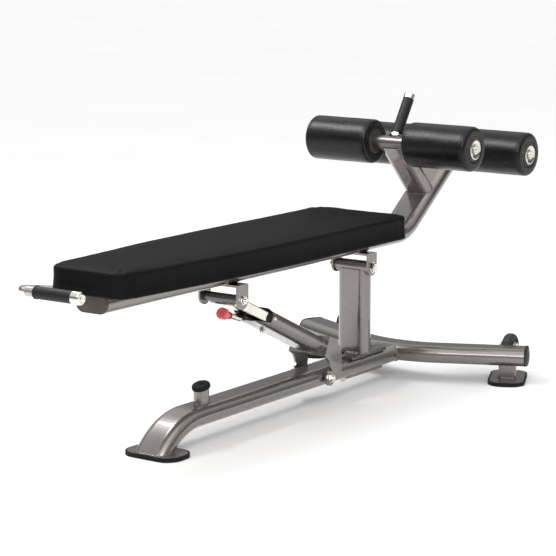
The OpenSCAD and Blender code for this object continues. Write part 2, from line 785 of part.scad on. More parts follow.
module sleeve_bracket() color(paint) strut_frame() {
    difference() {
        for (side = [-1, 1]) side_plate(side * (foot_ear_in + foot_ear_t / 2) - foot_ear_t / 2, foot_ear_t)
            foot_ear_outline();
        translate([foot_s, 0, foot_t]) rod_y(foot_pin_r + run_gap, 80);
    }
    translate([sleeve_end, -foot_ear_in - eps, -29]) cube([web_t, 2 * foot_ear_in + 2 * eps, 57]);
}

// Side outline of what is cut away at the sleeve's mouth, leaving the tongue below it
module mouth_cut(s_edge, t_edge) {
    polygon([
        [tongue_tip - 30, t_edge - 9.5], [tongue_tip, t_edge - 9.5],
        [s_edge, t_edge], [s_edge, 40], [tongue_tip - 30, 40]
    ]);
}

// Section of the inner strut tube, grown all round by extra
module inner_outline(extra) {
    round_rect(inner_w + 2 * extra, inner_t + 2 * extra, inner_corner + extra);
}

// Plastic guide in the sleeve's mouth: a lip above the tongue, a lining, and a chin for the pull pin
module strut_collar() color(black) strut_frame() {
    difference() {
        translate([sleeve_mouth - 3.1, 0, 0]) along_x(3) oval(tube_w + 3, tube_t + 3);
        translate([sleeve_mouth - 10, 0, 0]) along_x(20) inner_outline(0.4);
        side_plate(-60, 120) polygon([
            [sleeve_mouth - 10, -11.9], [sleeve_mouth + 10, -11.9],
            [sleeve_mouth + 10, -40], [sleeve_mouth - 10, -40]
        ]);
    }
    difference() {
        translate([sleeve_mouth - 24, 0, 0]) along_x(lock_s + 14 - sleeve_mouth) difference() {
            oval(tube_w - 2 * tube_wall - 0.4, tube_t - 2 * tube_wall - 0.4);
            inner_outline(0.4);
            translate([-8, -tube_r]) square([16, 12]);
        }
        side_plate(-60, 120) mouth_cut(sleeve_mouth - 0.2, -12);
    }
    difference() {
        translate([tongue_tip - 29, -20, -21.4]) cube([60, 40, 4]);
        translate([tongue_tip - 22, -8, -22]) cube([60, 16, 6]);
        pull_axis() cylinder(r = barrel_r + weld_gap, h = 90);
    }
}

module pull_axis() {
    translate([knob_s, 0, knob_t]) rotate([0, -pull_tilt, 0]) rotate([0, 90, 0]) children();
}

module pin_barrel() color(chrome) strut_frame() difference() {
    pull_axis() difference() {
        union() {
            translate([0, 0, 37]) cylinder(r = barrel_r, h = 47);
            translate([0, 0, 34]) cylinder(r = barrel_r - 1, h = 3);
        }
        translate([0, 0, 30]) cylinder(r = 3.1, h = 60);
    }
    translate([30, -20, -17.6]) cube([80, 40, 10]);
}

module strut_inner_tube() color(chrome) strut_frame() difference() {
    union() {
        translate([-1, 0, 0]) along_x(4) inner_outline(0);
        translate([3, 0, 0]) along_x(inner_len) difference() {
            inner_outline(0);
            inner_outline(-inner_wall);
        }
    }
    rotate([0, -strut_angle, 0]) at([strut_pin[0] - strut_top_x, strut_pin[1] - strut_top_z])
        rod_y(strut_tube_r + weld_gap, 70);
    for (i = [0 : 3]) translate([lock_s - i * 38, 0, -inner_t / 2 - 2]) cylinder(r = lock_r + 0.5, h = 6);
}

module strut_pivot_tube() color([0.45, 0.44, 0.43]) at(strut_pin) difference() {
    rod_y(strut_tube_r, strut_ear_in - 0.4);
    rod_y(strut_tube_bore, 70);
}

// Knob with its rod and the flat release blade that reaches in to the lock pin
module pull_knob() color([0.80, 0.10, 0.12]) strut_frame() {
    pull_axis() {
        translate([0, 0, -7]) rotate_extrude() polygon([
            [0, 0], for (a = [0 : 15 : 90]) [11 + 5 * sin(a), 5 - 5 * cos(a)],
            for (a = [0 : 15 : 75]) [10 + 6 * cos(a), 17 + 6 * sin(a)],
            [9.5, 24.5], [8.8, 29], [9.5, 37], [0, 37]
        ]);
        translate([0, 0, 28]) cylinder(r = 3, h = 72);
    }
    side_plate(-7, 14) polygon([
        [105, -28.5], [110, -26.5], [112.5, -20], [lock_s - 8, -20],
        [lock_s - 8, -18.2], [111, -18.2], [105, -25.5]
    ]);
}

module lock_pin() color(chrome) strut_frame() translate([lock_s, 0, 0]) {
    translate([0, 0, -35]) cylinder(r = lock_r, h = 19.5);
    translate([0, 0, -29]) cylinder(r = lock_r + 3, h = 3);
}

main_beam();
front_foot_plate();
front_foot_rubber();
bump_post();
bump_cap();
column();
column_base_plate();
column_under_plate();
column_bolts();
pivot_tube();
pivot_bushes();
strut_cross_tube();
strut_foot_bolt();
rear_stabiliser();
stabiliser_end_caps();
rear_foot_legs();
rear_foot_plates();
rear_foot_rubbers();
wheel_brackets();
wheel_bolts();
wheel_left();
wheel_right();
bench_rail();
rail_end_cap();
roller_upright();
knee_arm();
bench_pivot_bracket();
bench_pivot_bolt();
strut_top_bracket();
strut_top_bolt();
pad_brackets();
pad_bolts();
pad_board();
pad_cushion();
head_handle_tube();
head_handle_grip();
head_handle_cap();
knee_roller_tube();
foot_roller_tube();
knee_handle_tube();
knee_handle_grip();
knee_handle_cap();
roller_end_caps();
roller_end_bolts();
knee_roller_left();
knee_roller_right();
foot_roller_left();
foot_roller_right();
roller_hubs_knee_left();
roller_hubs_knee_right();
roller_hubs_foot_left();
roller_hubs_foot_right();
strut_sleeve();
sleeve_bracket();
strut_collar();
pin_barrel();
strut_inner_tube();
strut_pivot_tube();
pull_knob();
lock_pin();
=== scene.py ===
"""Adjustable decline sit-up bench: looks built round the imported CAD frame. Metres, Z up."""
import json
import math
import random

import bmesh
import bpy
import numpy as np
from mathutils import Matrix, Vector


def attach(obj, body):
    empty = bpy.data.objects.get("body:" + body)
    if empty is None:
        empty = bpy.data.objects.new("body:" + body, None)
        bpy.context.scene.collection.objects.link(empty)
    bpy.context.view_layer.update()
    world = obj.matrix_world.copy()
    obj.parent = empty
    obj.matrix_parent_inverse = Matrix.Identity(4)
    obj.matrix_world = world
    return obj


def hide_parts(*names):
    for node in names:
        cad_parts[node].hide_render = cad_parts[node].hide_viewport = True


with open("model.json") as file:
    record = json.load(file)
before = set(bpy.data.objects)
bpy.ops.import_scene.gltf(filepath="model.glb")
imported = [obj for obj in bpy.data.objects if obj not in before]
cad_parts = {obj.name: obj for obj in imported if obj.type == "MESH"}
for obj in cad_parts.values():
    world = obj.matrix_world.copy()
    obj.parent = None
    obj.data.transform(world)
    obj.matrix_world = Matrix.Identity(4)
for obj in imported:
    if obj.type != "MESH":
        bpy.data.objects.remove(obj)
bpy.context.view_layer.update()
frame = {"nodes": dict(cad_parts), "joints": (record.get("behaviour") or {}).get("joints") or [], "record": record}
nodes = frame["nodes"]
joints = {j["name"]: j for j in frame["joints"]}
random.seed(7)

# ---------------------------------------------------------------- sizes taken from the frame

PIVOT = Vector(joints["bench_tilt"]["pos_m"])
KNEE_AXIS = Vector(joints["knee_roller_left_spin"]["pos_m"])
FOOT_AXIS = Vector(joints["foot_roller_left_spin"]["pos_m"])
STRUT_DOWN = Vector(joints["strut_slide"]["axis"]).normalized()
STRUT_UP = Vector((-STRUT_DOWN.z, 0, STRUT_DOWN.x))
# The top end of the strut's own frame, at rest
STRUT_TOP = Vector((-0.290, 0, 0.3616))


# ---------------------------------------------------------------- materials


class Nodes:
    """A small helper round a material's node tree."""

    def __init__(self, name):
        self.mat = bpy.data.materials.new(name)
        self.mat.use_nodes = True
        self.tree = self.mat.node_tree
        self.bsdf = self.tree.nodes["Principled BSDF"]
        self.coords = self.add("ShaderNodeTexCoord").outputs["Object"]

    def add(self, kind, **values):
        node = self.tree.nodes.new(kind)
        for key, value in values.items():
            if hasattr(node, key):
                setattr(node, key, value)
            else:
                node.inputs[key.replace("_", " ")].default_value = value
        return node

    def link(self, out, into):
        self.tree.links.new(out, into)

    def noise(self, scale, detail=4.0, roughness=0.55, stretch=None):
        node = self.add("ShaderNodeTexNoise", Scale=scale, Detail=detail, Roughness=roughness)
        source = self.coords
        if stretch:
            mapping = self.add("ShaderNodeMapping", Scale=stretch)
            self.link(source, mapping.inputs["Vector"])
            source = mapping.outputs["Vector"]
        self.link(source, node.inputs["Vector"])
        return node.outputs["Fac"]

    def cells(self, scale, feature="F1"):
        node = self.add("ShaderNodeTexVoronoi", Scale=scale)
        node.feature = feature
        self.link(self.coords, node.inputs["Vector"])
        return node.outputs["Distance"]

    def ramp(self, fac, stops):
        node = self.add("ShaderNodeValToRGB")
        ramp = node.color_ramp
        while len(ramp.elements) < len(stops):
            ramp.elements.new(0.5)
        for element, (place, colour) in zip(ramp.elements, stops):
            element.position = place
            element.color = (*colour, 1)
        self.link(fac, node.inputs["Fac"])
        return node.outputs["Color"]

    def spread(self, fac, low, high):
        """Maps the middle of a noise's range onto low to high."""
        node = self.add("ShaderNodeMapRange")
        for key, value in (("From Min", 0.3), ("From Max", 0.7), ("To Min", low), ("To Max", high)):
            node.inputs[key].default_value = value
        self.link(fac, node.inputs["Value"])
        return node.outputs["Result"]

    def mix(self, fac, a, b):
        node = self.add("ShaderNodeMix", data_type="RGBA")
        self.link(fac, node.inputs["Factor"])
        self.link(a, node.inputs["A"])
        self.link(b, node.inputs["B"])
        return node.outputs[2]

    def bump(self, height, strength, distance, normal=None):
        node = self.add("ShaderNodeBump", Strength=strength, Distance=distance)
        self.link(height, node.inputs["Height"])
        if normal:
            self.link(normal, node.inputs["Normal"])
        return node.outputs["Normal"]

    def finish(self, colour=None, roughness=None, normal=None, **fixed):
        for key, value in fixed.items():
            self.bsdf.inputs[key.replace("_", " ")].default_value = value
        for out, name in ((colour, "Base Color"), (roughness, "Roughness"), (normal, "Normal")):
            if out is not None:
                self.link(out, self.bsdf.inputs[name])
        return self.mat


def tones(base, dark, light):
    """Three tones of a colour for a ramp."""
    return [tuple(c * k for c in base) for k in (dark, 1.0, light)]


def painted(name, base, roughness, metallic, coat):
    """Metallic powder coat: flake, cloudy tone, light orange peel."""
    n = Nodes(name)
    dark, mid, light = tones(base, 0.93, 1.07)
    cloud = n.ramp(n.noise(9, 5), [(0.30, dark), (0.52, mid), (0.75, light)])
    flake = n.ramp(n.cells(2600), [(0.10, tuple(c * 1.12 for c in base)), (0.45, mid), (0.9, dark)])
    both = n.mix(n.spread(n.noise(1400, 1), 0.10, 0.35), cloud, flake)
    rough = n.spread(n.noise(26, 4, 0.5), roughness - 0.02, roughness + 0.03)
    peel = n.bump(n.noise(260, 2), 0.03, 0.0004)
    return n.finish(both, rough, peel, Metallic=metallic, Coat_Weight=coat, Coat_Roughness=0.05)


def polished(name, base, roughness):
    """Bright plating with faint smears and hairlines."""
    n = Nodes(name)
    dark, mid, light = tones(base, 0.90, 1.04)
    tone = n.ramp(n.noise(30, 6), [(0.3, dark), (0.5, mid), (0.7, light)])
    rough = n.spread(n.noise(80, 8, 0.7), roughness, roughness + 0.05)
    hair = n.bump(n.noise(900, 2, 0.5, (1, 1, 0.08)), 0.04, 0.0002)
    return n.finish(tone, rough, hair, Metallic=1.0)


def brushed(name, base, roughness, stretch):
    """Bare metal. Its brush lines run along the axis with the smallest value in stretch."""
    n = Nodes(name)
    dark, mid, light = tones(base, 0.78, 1.12)
    line = n.noise(700, 3, 0.6, stretch)
    tone = n.ramp(line, [(0.3, dark), (0.5, mid), (0.72, light)])
    rough = n.spread(line, roughness - 0.06, roughness + 0.10)
    return n.finish(tone, rough, n.bump(line, 0.12, 0.0003), Metallic=0.92)


def vinyl(name, base, roughness, specular):
    """Upholstery vinyl: pebbled grain, pores and faint handling marks."""
    n = Nodes(name)
    dark, mid, light = tones(base, 0.88, 1.14)
    wear = n.noise(11, 6, 0.62)
    tone = n.ramp(wear, [(0.32, dark), (0.52, mid), (0.74, light)])
    rough = n.spread(wear, roughness - 0.03, roughness + 0.04)
    grain = n.bump(n.cells(620, "SMOOTH_F1"), 0.30, 0.0009)
    pores = n.bump(n.noise(2400, 2), 0.16, 0.0003, grain)
    return n.finish(tone, rough, pores, Specular_IOR_Level=specular)


def moulded(name, base, roughness, grain=900, depth=0.12, specular=0.2):
    """Moulded plastic or rubber with a spark-eroded texture."""
    n = Nodes(name)
    dark, mid, light = tones(base, 0.8, 1.3)
    cloud = n.noise(24, 6, 0.6)
    tone = n.ramp(cloud, [(0.3, dark), (0.5, mid), (0.75, light)])
    rough = n.spread(cloud, roughness - 0.06, roughness + 0.08)
    skin = n.bump(n.noise(grain, 2), depth, 0.0005)
    return n.finish(tone, rough, skin, Specular_IOR_Level=specular)


def translucent_red():
    """Slightly see-through red plastic with a faint flow pattern."""
    n = Nodes("knob_red")
    stops = [(0.3, (0.84, 0.075, 0.085)), (0.55, (0.93, 0.13, 0.14)), (0.8, (0.96, 0.20, 0.21))]
    tone = n.ramp(n.noise(60, 4), stops)
    rough = n.spread(n.noise(140, 4), 0.12, 0.24)
    flow = n.bump(n.noise(260, 2), 0.06, 0.0004)
    return n.finish(tone, rough, flow, Transmission_Weight=0.30, IOR=1.49,
                    Coat_Weight=0.6, Coat_Roughness=0.08)


def plywood():
    """Bare birch with its grain along X."""
    n = Nodes("birch_ply")
    grain = n.noise(60, 6, 0.6, (0.12, 1, 1))
    stops = [(0.3, (0.30, 0.19, 0.10)), (0.5, (0.46, 0.32, 0.18)), (0.75, (0.58, 0.42, 0.26))]
    tone = n.ramp(grain, stops)
    return n.finish(tone, n.spread(grain, 0.55, 0.75), n.bump(grain, 0.25, 0.0006))


PEWTER = (0.214, 0.191, 0.185)
MATERIALS = {
    "frame_paint": painted("pewter_coat", PEWTER, 0.28, 0.80, 1.0),
    "foot_plate_paint": painted("pewter_coat_satin", tuple(c * 0.85 for c in PEWTER), 0.36, 0.70, 0.5),
    "roller_tube_paint": painted("tube_coat", (0.165, 0.150, 0.145), 0.30, 0.85, 0.4),
    "pivot_steel": painted("pivot_coat", (0.10, 0.10, 0.105), 0.24, 0.85, 0.6),
    "chrome": polished("bright_chrome", (0.77, 0.745, 0.685), 0.04),
    "handle_steel": brushed("satin_steel", (0.50, 0.48, 0.46), 0.30, (1, 0.10, 1)),
    "bronze": brushed("bush_bronze", (0.50, 0.35, 0.15), 0.42, (1, 1, 1)),
    "black_vinyl": vinyl("upholstery_vinyl", (0.0068, 0.0068, 0.0070), 0.48, 0.05),
    "black_rubber": moulded("shoe_rubber", (0.007, 0.007, 0.007), 0.62, 700, 0.25),
    "grip_rubber": moulded("grip_foam", (0.010, 0.010, 0.0105), 0.50, 1500, 0.30, 0.3),
    "black_plastic": moulded("black_plastic", (0.0065, 0.0065, 0.007), 0.42),
    "cap_plastic": moulded("end_cap_plastic", (0.085, 0.080, 0.068), 0.48),
    "wheel_plastic": moulded("wheel_plastic", (0.040, 0.046, 0.044), 0.46),
    "hub_plastic": moulded("hub_plastic", (0.060, 0.048, 0.042), 0.40),
    "red_plastic": translucent_red(),
    "plywood": plywood(),
}
ROLLER_VINYL = vinyl("roller_vinyl", (0.0045, 0.0045, 0.0047), 0.27, 0.30)
DARK_STEEL = brushed("dark_steel", (0.22, 0.21, 0.205), 0.30, (0.1, 1, 1))


def assign(obj, mat):
    obj.data.materials.clear()
    obj.data.materials.append(mat)


for entry in frame["record"]["subparts"]:
    assign(nodes[entry["node"]], MATERIALS[entry["material_slot"]])


# ---------------------------------------------------------------- mesh tools

MM = 0.001
# The bench is drawn level and stands at this angle
BENCH_RISE = math.radians(0.5)
BENCH = Matrix.Translation(PIVOT) @ Matrix.Rotation(BENCH_RISE, 4, "Y") @ Matrix.Translation(-PIVOT)
STRUT = Matrix.Translation(STRUT_TOP) @ Matrix(
    ((STRUT_DOWN.x, 0, STRUT_UP.x, 0), (0, 1, 0, 0), (STRUT_DOWN.z, 0, STRUT_UP.z, 0), (0, 0, 0, 1)))
HERE = Matrix.Identity(4)
# The flat-oval frame tube, in mm: radius of its rounded sides and half the width of its flats
TUBE_R, TUBE_FLAT = 25, 25


def from_mm(points, frame_matrix=HERE):
    return [frame_matrix @ (Vector(p) * MM) for p in points]


def new_object(name, verts, faces, mat, smooth=True):
    mesh = bpy.data.meshes.new(name)
    mesh.from_pydata([tuple(v) for v in verts], [], faces)
    mesh.validate()
    obj = bpy.data.objects.new(name, mesh)
    bpy.context.scene.collection.objects.link(obj)
    mesh.materials.append(mat)
    if smooth:
        mesh.shade_smooth()
    return obj


def outward(obj):
    """Merges doubled points and points every face outwards."""
    bm = bmesh.new()
    bm.from_mesh(obj.data)
    bmesh.ops.remove_doubles(bm, verts=bm.verts, dist=1e-6)
    bmesh.ops.recalc_face_normals(bm, faces=bm.faces)
    bm.to_mesh(obj.data)
    bm.free()


def finish_piece(obj, body, replaced=()):
    """Hangs a piece under its body's empty and hides the CAD nodes that it stands for."""
    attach(obj, body)
    if replaced:
        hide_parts(*replaced)
    return obj


def ring_faces(rings, around):
    """Quads between consecutive closed rings of the same number of points."""
    faces = []
    for i in range(rings - 1):
        here, there = i * around, (i + 1) * around
        for j in range(around):
            k = (j + 1) % around
            faces.append((here + j, here + k, there + k, there + j))
    return faces


def lathe(name, profile, frame_matrix, slot, body, around=64):
    """Turns (radius, height) points in mm about local Z. A radius of 0 closes that end."""
    verts, faces, starts = [], [], []
    for r, z in profile:
        starts.append(len(verts))
        for j in range(1 if r == 0 else around):
            a = 2 * math.pi * j / around
            verts.append((r * math.cos(a), r * math.sin(a), z))
    for i in range(len(profile) - 1):
        a, b = starts[i], starts[i + 1]
        for j in range(around):
            k = (j + 1) % around
            if profile[i][0] == 0:
                faces.append((a, b + k, b + j))
            elif profile[i + 1][0] == 0:
                faces.append((a + j, a + k, b))
            else:
                faces.append((a + j, a + k, b + k, b + j))
    obj = new_object(name, from_mm(verts, frame_matrix), faces, MATERIALS[slot])
    outward(obj)
    crease(obj)
    return finish_piece(obj, body)


def crease(obj, degrees=35):
    """Smooth shading, with edges sharper than this angle left sharp."""
    limit = math.radians(degrees)
    bm = bmesh.new()
    bm.from_mesh(obj.data)
    for edge in bm.edges:
        edge.smooth = not (len(edge.link_faces) == 2 and edge.calc_face_angle(0) > limit)
    bm.to_mesh(obj.data)
    bm.free()


def oval(w, t, count=12):
    """Outline of the flat-oval tube, anticlockwise, in mm: w along the first axis."""
    r, half = t / 2, (w - t) / 2
    points = []
    for centre, start in ((half, -90), (-half, 90)):
        for i in range(count + 1):
            a = math.radians(start + 180 * i / count)
            points.append((centre + r * math.cos(a), r * math.sin(a)))
    return points


def rounded(w, h, r, count=6):
    """Outline of a rectangle with rounded corners, in mm."""
    points = []
    for cx, cy, start in ((w / 2 - r, h / 2 - r, 0), (r - w / 2, h / 2 - r, 90),
                          (r - w / 2, r - h / 2, 180), (w / 2 - r, r - h / 2, 270)):
        for i in range(count + 1):
            a = math.radians(start + 90 * i / count)
            points.append((cx + r * math.cos(a), cy + r * math.sin(a)))
    return points


def evenly(points, step, closed):
    """The same path in equal steps of about step mm."""
    path = [Vector(p) for p in points]
    if closed:
        path.append(path[0])
    marks = [0.0]
    for a, b in zip(path, path[1:]):
        marks.append(marks[-1] + (b - a).length)
    count = max(3, round(marks[-1] / step))
    out, i = [], 0
    for k in range(count + (0 if closed else 1)):
        d = marks[-1] * k / count
        while i < len(path) - 2 and marks[i + 1] < d:
            i += 1
        span = marks[i + 1] - marks[i]
        out.append(path[i].lerp(path[i + 1], (d - marks[i]) / span if span else 0))
    return out


def bead(points, radius, closed):
    """A weld bead along a path in mm: overlapping ripples, a little uneven. Returns (points, faces)."""
    step, ripple = 1.5, 4.5
    path = evenly(points, step, closed)
    n, around = len(path), 8
    verts = []
    for i, p in enumerate(path):
        before = path[(i - 1) % n] if closed or i else p
        after = path[(i + 1) % n] if closed or i < n - 1 else p
        way = (after - before).normalized()
        u = way.orthogonal().normalized()
        v = way.cross(u)
        lap = (i * step % ripple) / ripple
        size = radius * (0.82 + 0.22 * math.sqrt(1 - (2 * lap - 1) ** 2)) * (1 + 0.07 * random.uniform(-1, 1))
        for j in range(around):
            a = 2 * math.pi * j / around
            verts.append(p + (u * math.cos(a) + v * math.sin(a)) * size)
    faces = ring_faces(n, around)
    last = (n - 1) * around
    if closed:
        for j in range(around):
            k = (j + 1) % around
            faces.append((last + j, last + k, k, j))
    else:
        faces.append(tuple(range(around))[::-1])
        faces.append(tuple(last + j for j in range(around)))
    return verts, faces


def weld(name, runs, body, frame_matrix=HERE):
    """One object of weld beads. Each run is (points in mm, radius, closed)."""
    verts, faces = [], []
    for points, radius, closed in runs:
        v, f = bead(points, radius, closed)
        faces += [tuple(len(verts) + i for i in face) for face in f]
        verts += v
    obj = new_object(name, from_mm(verts, frame_matrix), faces, MATERIALS["frame_paint"])
    outward(obj)
    return finish_piece(obj, body)


def shape_of(obj):
    """The object's points as an array of rows."""
    co = np.empty(len(obj.data.vertices) * 3)
    obj.data.vertices.foreach_get("co", co)
    return co.reshape(-1, 3)


def reshape(obj, co):
    """Gives the object's points new places."""
    obj.data.vertices.foreach_set("co", np.ascontiguousarray(co).ravel())
    obj.data.update()


def placed(co, matrix):
    """Rows of points taken through a matrix."""
    return co @ np.array(matrix.to_3x3()).T + np.array(matrix.translation)


def swell(obj, held, cap):
    """Cloth under pressure from inside, held at some points. No point moves further than cap metres."""
    frames = 20
    scene = bpy.context.scene
    group = obj.vertex_groups.new(name="held")
    group.add([int(i) for i in held], 1.0, "REPLACE")
    before = shape_of(obj)
    cover = obj.modifiers.new("cover", "CLOTH")
    cloth = cover.settings
    cloth.quality = 6
    cloth.mass = 0.3
    cloth.tension_stiffness = cloth.compression_stiffness = 30
    cloth.shear_stiffness = 12
    cloth.bending_stiffness = 6
    cloth.use_pressure = True
    cloth.uniform_pressure_force = 4.0
    cloth.vertex_group_mass = "held"
    cloth.effector_weights.gravity = 0
    cover.collision_settings.use_collision = False
    scene.frame_start, scene.frame_end = 1, frames
    cover.point_cache.frame_start, cover.point_cache.frame_end = 1, frames
    for f in range(1, frames + 1):
        scene.frame_set(f)
    done = obj.evaluated_get(bpy.context.evaluated_depsgraph_get()).to_mesh()
    after = np.empty(before.size)
    done.vertices.foreach_get("co", after)
    move = after.reshape(-1, 3) - before
    length = np.linalg.norm(move, axis=1, keepdims=True)
    print(obj.name, "swelled by up to", round(float(length.max()) * 1000, 1), "mm")
    move *= cap / (cap + length)
    obj.modifiers.remove(cover)
    obj.vertex_groups.clear()
    scene.frame_set(1)
    reshape(obj, before + move)


def subdivide(obj, levels=1):
    smooth = obj.modifiers.new("smooth", "SUBSURF")
    smooth.levels = smooth.render_levels = levels


# ---------------------------------------------------------------- the pad

# The pad's head end, length, top and lower edge, then its half widths and corner radius, in mm
PAD_X0, PAD_LEN, PAD_TOP, PAD_LIP = -861, 1245, 516, 449
PAD_HEAD, PAD_SEAT, PAD_CORNER = 121, 163, 42
# Underside of the board, and middle of the rail
BOARD_UNDER, RAIL_Z = 455, 427


def pad_half(d):
    """Half width of the pad at a distance from its head end: it widens over the first 56 %."""
    share = min(1, max(0, d / (0.56 * PAD_LEN)))
    return PAD_HEAD + (PAD_SEAT - PAD_HEAD) * math.sin(math.pi / 2 * share)


def pad_ring(inset):
    """Plan outline of the pad drawn in by an inset, always with the same number of points."""
    r = max(PAD_CORNER - inset, 4)
    bends, steps = 12, 150
    half = []
    for i in range(bends + 1):
        a = math.pi / 2 * (1 - i / bends)
        half.append((inset + r - r * math.sin(a), max(pad_half(0) - inset - r, 0) + r * math.cos(a)))
    for i in range(1, steps):
        d = inset + r + (PAD_LEN - 2 * inset - 2 * r) * i / steps
        half.append((d, max(pad_half(d) - inset, 0.5)))
    for i in range(bends + 1):
        a = math.pi / 2 * i / bends
        half.append((PAD_LEN - inset - r + r * math.sin(a), pad_half(PAD_LEN) - inset - r + r * math.cos(a)))
    ends = [(PAD_LEN - inset, y) for y in np.linspace(half[-1][1], -half[-1][1], 24)[1:-1]]
    heads = [(inset, y) for y in np.linspace(-half[0][1], half[0][1], 20)[1:-1]]
    loop = half + ends + [(x, -y) for x, y in half[::-1]] + heads
    return [(PAD_X0 + x, y) for x, y in loop]


def pad_profile():
    """(inset, height) of the cover, from its hem under the board, up the side and onto the top."""
    start = 0.6
    profile = [(33, BOARD_UNDER + 0.4), (32.6, BOARD_UNDER - 0.7), (26, BOARD_UNDER - 0.9),
               (18, BOARD_UNDER - 1.2), (13, BOARD_UNDER - 2.2), (9.5, PAD_LIP + 0.9),
               (6, PAD_LIP + 0.2), (3, PAD_LIP + 1.4), (start - 1.3, PAD_LIP + 4.5)]
    low, high = PAD_LIP + 9, PAD_TOP - 10
    for i in range(9):
        t = i / 8
        profile.append((start + 1.2 * math.sin(math.pi * t), low + (high - low) * t))
    r = 8.5
    for i in range(1, 8):
        a = math.pi / 2 * i / 8
        profile.append((start + r - r * math.cos(a), PAD_TOP - 0.8 - r + r * math.sin(a)))
    for i in range(17):
        t = i / 16
        inset = start + r + 104 * t
        profile.append((inset, PAD_TOP - 0.8 + 1.2 * math.sin(math.pi / 2 * min(1, t * 1.2))))
    return profile


def cushion():
    """Vinyl cover over foam: crowned top, soft upper edge, sides drawn in above a rolled hem."""
    rings = [[(x, y, z) for x, y in pad_ring(inset)] for inset, z in pad_profile()]
    inner, top = rings[-1], PAD_TOP + 0.4
    first, last = PAD_X0 + PAD_HEAD, PAD_X0 + PAD_LEN - PAD_SEAT
    for k in (1, 2, 3, 4, 5):
        pull = k / 5
        rings.append([(x + (min(max(x, first), last) - x) * pull, y * (1 - pull), top) for x, y, z in inner])
    obj = new_object("cushion", from_mm([p for ring in rings for p in ring], BENCH),
                     ring_faces(len(rings), len(inner)), MATERIALS["black_vinyl"])
    outward(obj)
    flip_if_inward(obj)
    level = BENCH.inverted()
    hem = np.nonzero(placed(shape_of(obj), level)[:, 2] < (PAD_LIP + 6) * MM)[0]
    swell(obj, hem, 0.005)
    sewn = tailor(placed(shape_of(obj), level) / MM) * MM
    reshape(obj, placed(sewn, BENCH))
    subdivide(obj)
    finish_piece(obj, "bench", ("pad_cushion",))
    return obj


def flip_if_inward(obj):
    """An open cover has no inside: its highest faces must look up."""
    top = max(obj.data.polygons, key=lambda p: p.center.z)
    if top.normal.z < 0:
        obj.data.flip_normals()


def tailor(co):
    """Small pulls in the cover above the hem and at the corners, and a trim where it crosses the rail.

    Takes and gives rows of points in mm, with the bench level.
    """
    x, y, z = co[:, 0].copy(), co[:, 1].copy(), co[:, 2].copy()
    d = x - PAD_X0
    corner = np.maximum(np.exp(-((d - 12) / 70) ** 2), np.exp(-((d - PAD_LEN + 12) / 70) ** 2))
    side = np.clip((PAD_TOP - 8 - z) / 40, 0, 1) * np.clip((z - PAD_LIP) / 8, 0, 1)
    run = np.where(np.abs(y) > 90, x, y)
    pull = 0.35 * np.sin(run / 7.5 + 1.3 * np.sin(run / 31)) * np.exp(-((z - PAD_LIP - 8) / 12) ** 2)
    pull = pull + corner * 0.7 * np.sin(np.arctan2(y, d - np.where(d < 600, 60, PAD_LEN - 60)) * 26) * side
    middle = np.stack([np.clip(x, PAD_X0 + 80, PAD_X0 + PAD_LEN - 80), np.zeros_like(x)], axis=1)
    out = np.stack([x, y], axis=1) - middle
    out /= np.maximum(np.linalg.norm(out, axis=1, keepdims=True), 1e-6)
    co[:, :2] += out * (pull * np.clip(side * 3, 0, 1))[:, None]
    top = np.clip((z - PAD_TOP + 6) / 4, 0, 1)
    co[:, 2] += top * 0.35 * (np.sin(x / 83 + 0.6) * np.cos(y / 57 + x / 190) + 0.4 * np.sin(x / 37 - y / 29))
    flank = np.maximum(np.abs(y) - TUBE_FLAT, 0)
    rail = RAIL_Z + np.sqrt(np.maximum(TUBE_R ** 2 - flank ** 2, 0)) + 0.4
    near = (np.abs(y) < 49) & (x > 0)
    co[:, 2] = np.where(near, np.maximum(co[:, 2], rail), co[:, 2])
    return co


# ---------------------------------------------------------------- the rollers

# A roller's radius, its length, its distance from the middle of the bench and its hub's radius, in mm
ROLLER_R, ROLLER_LEN, ROLLER_GAP, ROLLER_HUB = 65, 213, 60, 36.2
# Radius of a roller's soft edge, and how far from its end the seam's groove runs
ROLLER_EDGE, ROLLER_GROOVE = 11, 14.2


def roller_profile():
    """(radius, height) of a roller's cover about its middle: soft ends and a seam's groove near each end."""
    half, edge, skin = ROLLER_LEN / 2, ROLLER_EDGE, ROLLER_R - 0.3
    end = [(ROLLER_HUB - 9, half - 5), (ROLLER_HUB + 0.2, half - 5), (ROLLER_HUB + 0.6, half - 2.5),
           (ROLLER_HUB + 1.8, half - 0.9), (ROLLER_HUB + 5, half - 0.3), (ROLLER_HUB + 9, half - 0.3)]
    for i in range(8):
        a = math.pi / 2 * i / 8
        end.append((skin - edge + edge * math.sin(a), half - 0.6 - edge + edge * math.cos(a)))
    side = half - edge - 0.6
    groove = [(skin, side), (skin, side - 1.6), (skin - 1.3, side - 2.6),
              (skin, side - 3.6), (skin, side - 5.2)]
    count = 22
    wall = [(skin, (side - 5.2) * (1 - 2 * i / count)) for i in range(1, count)]
    return end + groove + wall + [(r, -z) for r, z in groove[::-1]] + [(r, -z) for r, z in end[::-1]]


def roller_shape():
    """Points of a swollen cover along Z, in mm, and its faces. All four rollers start from it."""
    profile, around = roller_profile(), 128
    verts = []
    for r, z in profile:
        for j in range(around):
            a = 2 * math.pi * j / around
            verts.append((r * math.cos(a), r * math.sin(a), z))
    faces = ring_faces(len(profile), around)
    master = new_object("roller_cover", from_mm(verts), faces, MATERIALS["black_vinyl"])
    outward(master)
    held = []
    for i, (r, z) in enumerate(profile):
        if r < ROLLER_HUB + 3 or abs(abs(z) - (ROLLER_LEN / 2 - ROLLER_GROOVE)) < 0.3:
            held += range(i * around, (i + 1) * around)
    swell(master, held, 0.0022)
    shape = shape_of(master) / MM
    faces = [tuple(p.vertices) for p in master.data.polygons]
    bpy.data.objects.remove(master)
    return shape, faces


